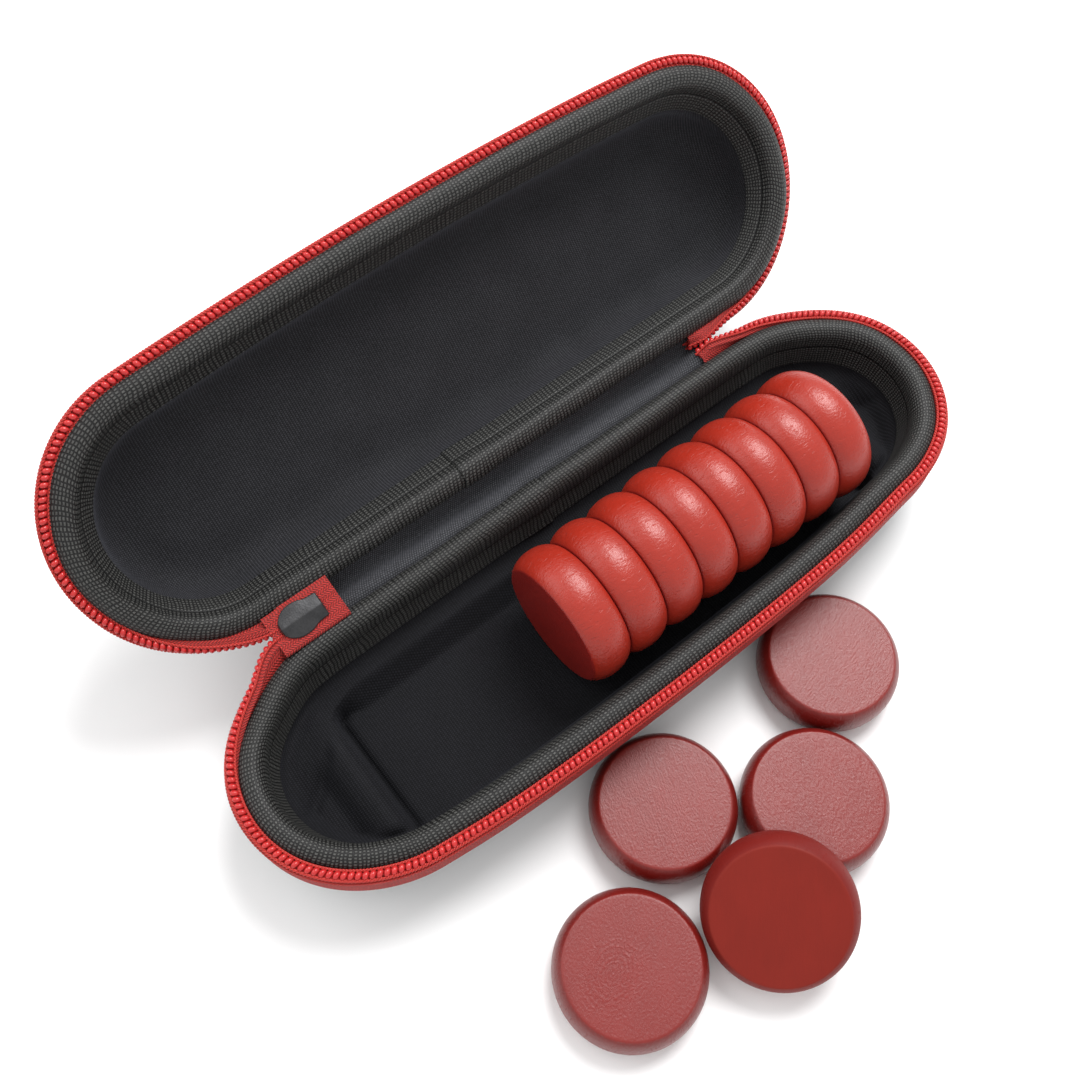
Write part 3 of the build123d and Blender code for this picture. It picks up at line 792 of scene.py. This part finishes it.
# the tape's wings, from the chain down to each rim
for half in HALVES:
    k = 1 if half == "base" else -1
    edge = chain(0.0, 4.3 * k, -2.1) / MM
    foot = place(half, 0.0, 29.9, -5.2) / MM
    knee = place(half, 0.0, 26.5, -4.0) / MM
    toe = place(half, 0.0, 30.2, -7.6) / MM
    line = soften([edge[1:], (edge[1:] + knee[1:]) / 2, knee[1:], foot[1:], toe[1:]], 2)
    xs = np.linspace(WING_START, END_STOP, END_STEPS)
    tuck = smoothstep(-xs, 63.0, 68.5)[:, None, None]
    yz = line[None] * (1 - tuck) + foot[None, None, 1:] * tuck
    p = np.concatenate([np.broadcast_to(xs[:, None, None], (END_STEPS, len(line), 1)), yz], -1) * MM
    wing = grid(f"{half}_zip_wing", p, xs, lengths(line), flip=half == "lid", material=TAPE)
    solid = wing.modifiers.new("thick", "SOLIDIFY")
    solid.thickness, solid.offset = 0.0004, 0.0
    if half == "base":
        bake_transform(wing)
    else:
        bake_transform(wing)

# ------------------------------------------------------------------ fabric hinge
def cross_line(half, y, d):
    return tuple(place(half, 0.0, y, d)[1:] / MM)


line = [
    cross_line("base", 24.9, -4.4),
    cross_line("base", 26.4, -4.0),
    (27.9, 22.4), (29.6, 21.9), (31.3, 20.5), (32.6, 20.0), (33.8, 21.2), (35.0, 23.2),
    cross_line("lid", 26.2, -4.0),
    cross_line("lid", 24.9, -4.4),
]
line = soften(line, 3)
CLOTH_HALF_THICKNESS = 0.28
xs = np.linspace(-51.6, 55.4, 194)
turn = np.gradient(line, axis=0)
turn = np.stack([-turn[:, 1], turn[:, 0]], -1) / np.linalg.norm(turn, axis=1)[:, None]
amount = np.sin(np.linspace(0, math.pi, len(line)))
wave = 0.22 * np.sin(xs / 9.0) + 0.16 * np.sin(xs / 3.7 + 0.8) + 1.6 * smoothstep(xs, 46.0, 52.5)
cloth = line[None] + turn[None] * (wave[:, None] * amount[None])[..., None]
along_x = np.broadcast_to(xs[:, None], cloth.shape[:2])
faces = []
for h in (CLOTH_HALF_THICKNESS, -CLOTH_HALF_THICKNESS):
    yz = cloth + turn * h
    faces.append(np.stack([along_x, yz[..., 0], yz[..., 1]], -1) * MM)
shell = np.concatenate([faces[0], faces[1][:, ::-1]], 1)
v = lengths(line)
around = np.concatenate([v, v[::-1] + 0.3, [v[0]]])
gusset = grid("hinge_cloth", shell, xs, around, wrap_v=True, material=GUSSET)
bm = bmesh.new()
bm.from_mesh(gusset.data)
bmesh.ops.holes_fill(bm, edges=[e for e in bm.edges if e.is_boundary], sides=0)
bm.to_mesh(gusset.data)
bm.free()
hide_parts("hinge_gusset")
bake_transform(gusset)

# ------------------------------------------------------------------ slider
stations = np.array([0.0, 0.25, 0.8, 1.5, 2.3, 3.3, 4.3, 5.3, 6.2, 7.0, 7.8, 9.0, 9.9, 10.2])
shares = np.array([0.22, 0.42, 0.62, 0.78, 0.9, 0.98, 1.0, 0.98, 0.93, 0.84, 0.79, 0.765, 0.76, 0.73])
MOUTH, SLIDER_LENGTH = -65.2, 10.2


def plate(name, half_width, flat_z, edge, ridge, way):
    """A shield plate with two facets and softened edges.

    way is +1 where its ridge points outward and -1 where it points inward.
    """
    one_side = [(1.0, "foot"), (1.0, "side"), (0.94, "top"), (0.5, "top"), (0.06, "top")]
    section = one_side + [(0.0, "ridge")] + [(-f, level) for f, level in one_side[::-1]]
    rows = []
    for x, share in zip(stations, shares):
        w = half_width * share
        soft = min(1.0, 0.55 + min(x, SLIDER_LENGTH - x) * 1.4)
        row = []
        for f, level in section:
            top = edge + (ridge - edge) * (1 - abs(f))
            z = {"foot": 0.0, "side": edge * 0.7, "top": top, "ridge": top - 0.02}[level]
            row.append((MOUTH + x, f * w, flat_z + way * z * soft))
        rows.append(row)
    g = np.array(rows)
    points = chain(g[..., 0], g[..., 1], g[..., 2])
    around = np.arange(len(section) + 1.0)
    ob = grid(name, points, stations, around, wrap_v=True, flip=way > 0, material=METAL)
    bm = bmesh.new()
    bm.from_mesh(ob.data)
    bmesh.ops.holes_fill(bm, edges=[e for e in bm.edges if e.is_boundary], sides=0)
    bmesh.ops.recalc_face_normals(bm, faces=bm.faces)
    bm.to_mesh(ob.data)
    bm.free()
    ob.data.polygons.foreach_set("use_smooth", [False] * len(ob.data.polygons))
    bev = ob.modifiers.new("edge", "BEVEL")
    bev.width, bev.segments, bev.limit_method, bev.angle_limit = 0.00012, 2, "ANGLE", math.radians(25)
    return ob


inner = plate("slider_inner", 3.7, -2.65, 0.4, 1.1, -1)
outer = plate("slider_outer", 4.2, 0.15, 0.75, 1.0, 1)
POST_STEPS = 24
t = np.arange(POST_STEPS) * 2 * math.pi / POST_STEPS
zs = np.array([-2.75, -2.6, -1.2, 0.1, 0.25])
px = MOUTH + 1.5 + 1.3 * np.sign(np.cos(t)) * np.abs(np.cos(t)) ** 0.9
p = chain(px[:, None], (0.7 * np.sin(t))[:, None], zs)
post = grid("slider_post", p, np.arange(POST_STEPS + 1.0), zs, wrap_u=True, material=METAL)
for ob in (inner, outer):
    with bpy.context.temp_override(object=ob, active_object=ob, selected_objects=[ob]):
        bpy.ops.object.modifier_apply(modifier="edge")
slider = join("slider_plates", [inner, outer, post])
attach(slider, "zipper_slider")
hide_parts("zipper_slider_body")
for name in ("zipper_slider_crown", "zipper_pull_tab"):
    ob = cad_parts[name]
    ob.data.materials.clear()
    ob.data.materials.append(METAL)
    bev = ob.modifiers.new("edge", "BEVEL")
    bev.width, bev.segments, bev.limit_method, bev.angle_limit = 0.00016, 2, "ANGLE", math.radians(35)

# ------------------------------------------------------------------ discs
edge = [
    (0.0, 4.97), (9.0, 5.0), (13.2, 5.0), (13.82, 4.98), (14.1, 4.8),
    (14.75, 4.1), (15.4, 2.9), (15.78, 1.5), (DISC_R, 0.0),
]
section = soften(edge + [(x, -z) for x, z in edge[-2::-1]], 2)
section = section[(section[:, 0] > 0) | (np.abs(section[:, 1]) > 4.9)]
UPRIGHT, IN_ROW = Vector((0, 0, 1)), Vector((1, 0, 0))
LEANING = Vector((-0.392, -0.202, 0.897)).normalized()
DISC_STEPS = 96


def disc(number, axis, spin, material):
    name = f"disc_{number:02d}"
    low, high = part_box(name)
    turns = np.arange(DISC_STEPS) * 2 * math.pi / DISC_STEPS
    radius, height = section[:, 0], np.broadcast_to(section[:, 1], (DISC_STEPS, len(section)))
    local = np.stack([np.cos(turns)[:, None] * radius, np.sin(turns)[:, None] * radius, height], -1)
    rot = np.array(UPRIGHT.rotation_difference(axis).to_matrix() @ Matrix.Rotation(spin, 3, "Z"))
    world = (local @ rot.T) * MM + np.array((low + high) / 2)
    around = np.arange(DISC_STEPS + 1.0)
    ob = grid(f"wood_{name}", world, around, lengths(section), wrap_u=True, material=material)
    grain = ob.data.attributes.new("grain", "FLOAT_VECTOR", "POINT")
    grain.data.foreach_set("vector", local.astype(np.float32).ravel())
    bm = bmesh.new()
    bm.from_mesh(ob.data)
    bmesh.ops.remove_doubles(bm, verts=bm.verts, dist=1e-6)
    bmesh.ops.recalc_face_normals(bm, faces=bm.faces)
    bm.to_mesh(ob.data)
    bm.free()
    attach(ob, f"loose_disc_{number:02d}")
    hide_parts(name)


# One stained wood for all the discs; the rims' colours are set by group according to how the rims face the
# light. The upright row's rims, turned up, are painted lighter as painted light. The rims of the loose and
# leaning discs, at their sides, are painted darker as painted shade.
ROW_RIM_PAINTED_LIGHTER, ROW_FACE = (0.33, 0.020, 0.009), (0.23, 0.012, 0.009)
for k in range(8):
    wood = lacquered_wood(f"Lacquer_row_{k + 1}", k + 1.0, ROW_FACE, ROW_RIM_PAINTED_LIGHTER, 0.25)
    disc(k + 1, IN_ROW, 0.7 * k, wood)
LOOSE_FACE, LOOSE_RIM_PAINTED_DARKER = (0.19, 0.012, 0.009), (0.15, 0.007, 0.005)
for number, spin, seed in ((9, 0.25, 11.0), (10, 1.2, 12.0), (11, 1.5, 13.0)):
    wood = lacquered_wood(f"Lacquer_{number}", seed, LOOSE_FACE, LOOSE_RIM_PAINTED_DARKER, 0.25)
    disc(number, UPRIGHT, spin, wood)
wood = lacquered_wood("Lacquer_12", 14.0, LOOSE_FACE, LOOSE_RIM_PAINTED_DARKER, 0.29, rings=0.6)
disc(12, UPRIGHT, 0.4, wood)
matt_face, matt_rim = (0.185, 0.012, 0.006), (0.16, 0.009, 0.006)
wood = lacquered_wood("Lacquer_13", 15.0, matt_face, matt_rim, 0.50, relief=0.02, shine=0.22)
disc(13, LEANING, 0.9, wood)

# ------------------------------------------------------------------ floor, light and camera
corners = [(-2, -2, 0), (2, -2, 0), (2, 2, 0), (-2, 2, 0)]
floor = new_object("floor", corners, [(0, 1, 2, 3)], smooth=False)
pale = Shade("Pale_floor", Roughness=0.9)
pale.bsdf.inputs["Base Color"].default_value = (0.97, 0.97, 0.97, 1)
floor.data.materials.append(pale.m)
floor.location.z = -0.0002

world = bpy.data.worlds.new("Studio")
scene.world = world
world.use_nodes = True
world.node_tree.nodes["Background"].inputs[0].default_value = (1, 1, 1, 1)
world.node_tree.nodes["Background"].inputs[1].default_value = 0.85


def softbox(name, direction, distance, size, watts):
    light = bpy.data.lights.new(name, "AREA")
    light.shape, light.size, light.energy = "DISK", size, watts
    ob = bpy.data.objects.new(name, light)
    scene.collection.objects.link(ob)
    direction = Vector(direction).normalized()
    ob.location = Vector((0, -0.01, 0.02)) + direction * distance
    ob.rotation_euler = direction.to_track_quat("Z", "Y").to_euler()


softbox("key", (0.45, 0.22, 0.87), 0.9, 0.50, 8.0)
softbox("fill", (-0.45, 0.6, 0.75), 1.0, 0.8, 2.5)

CAMERA_PLACE = (-0.08187, -0.07189, 0.25661)
forward = Vector((0.2817, 0.3317, -0.9003)).normalized()
right = Vector((0.7828, -0.6220, 0.0158)).normalized()
up = right.cross(forward).normalized()
cam_data = bpy.data.cameras.new("camera")
cam_data.sensor_width, cam_data.lens, cam_data.clip_start = 36.0, 39.57, 0.01
camera = bpy.data.objects.new("camera", cam_data)
scene.collection.objects.link(camera)
turn = Matrix((right, up, -forward)).transposed().to_4x4()
camera.matrix_world = Matrix.Translation(CAMERA_PLACE) @ turn
scene.camera = camera
scene.view_settings.view_transform = "Standard"
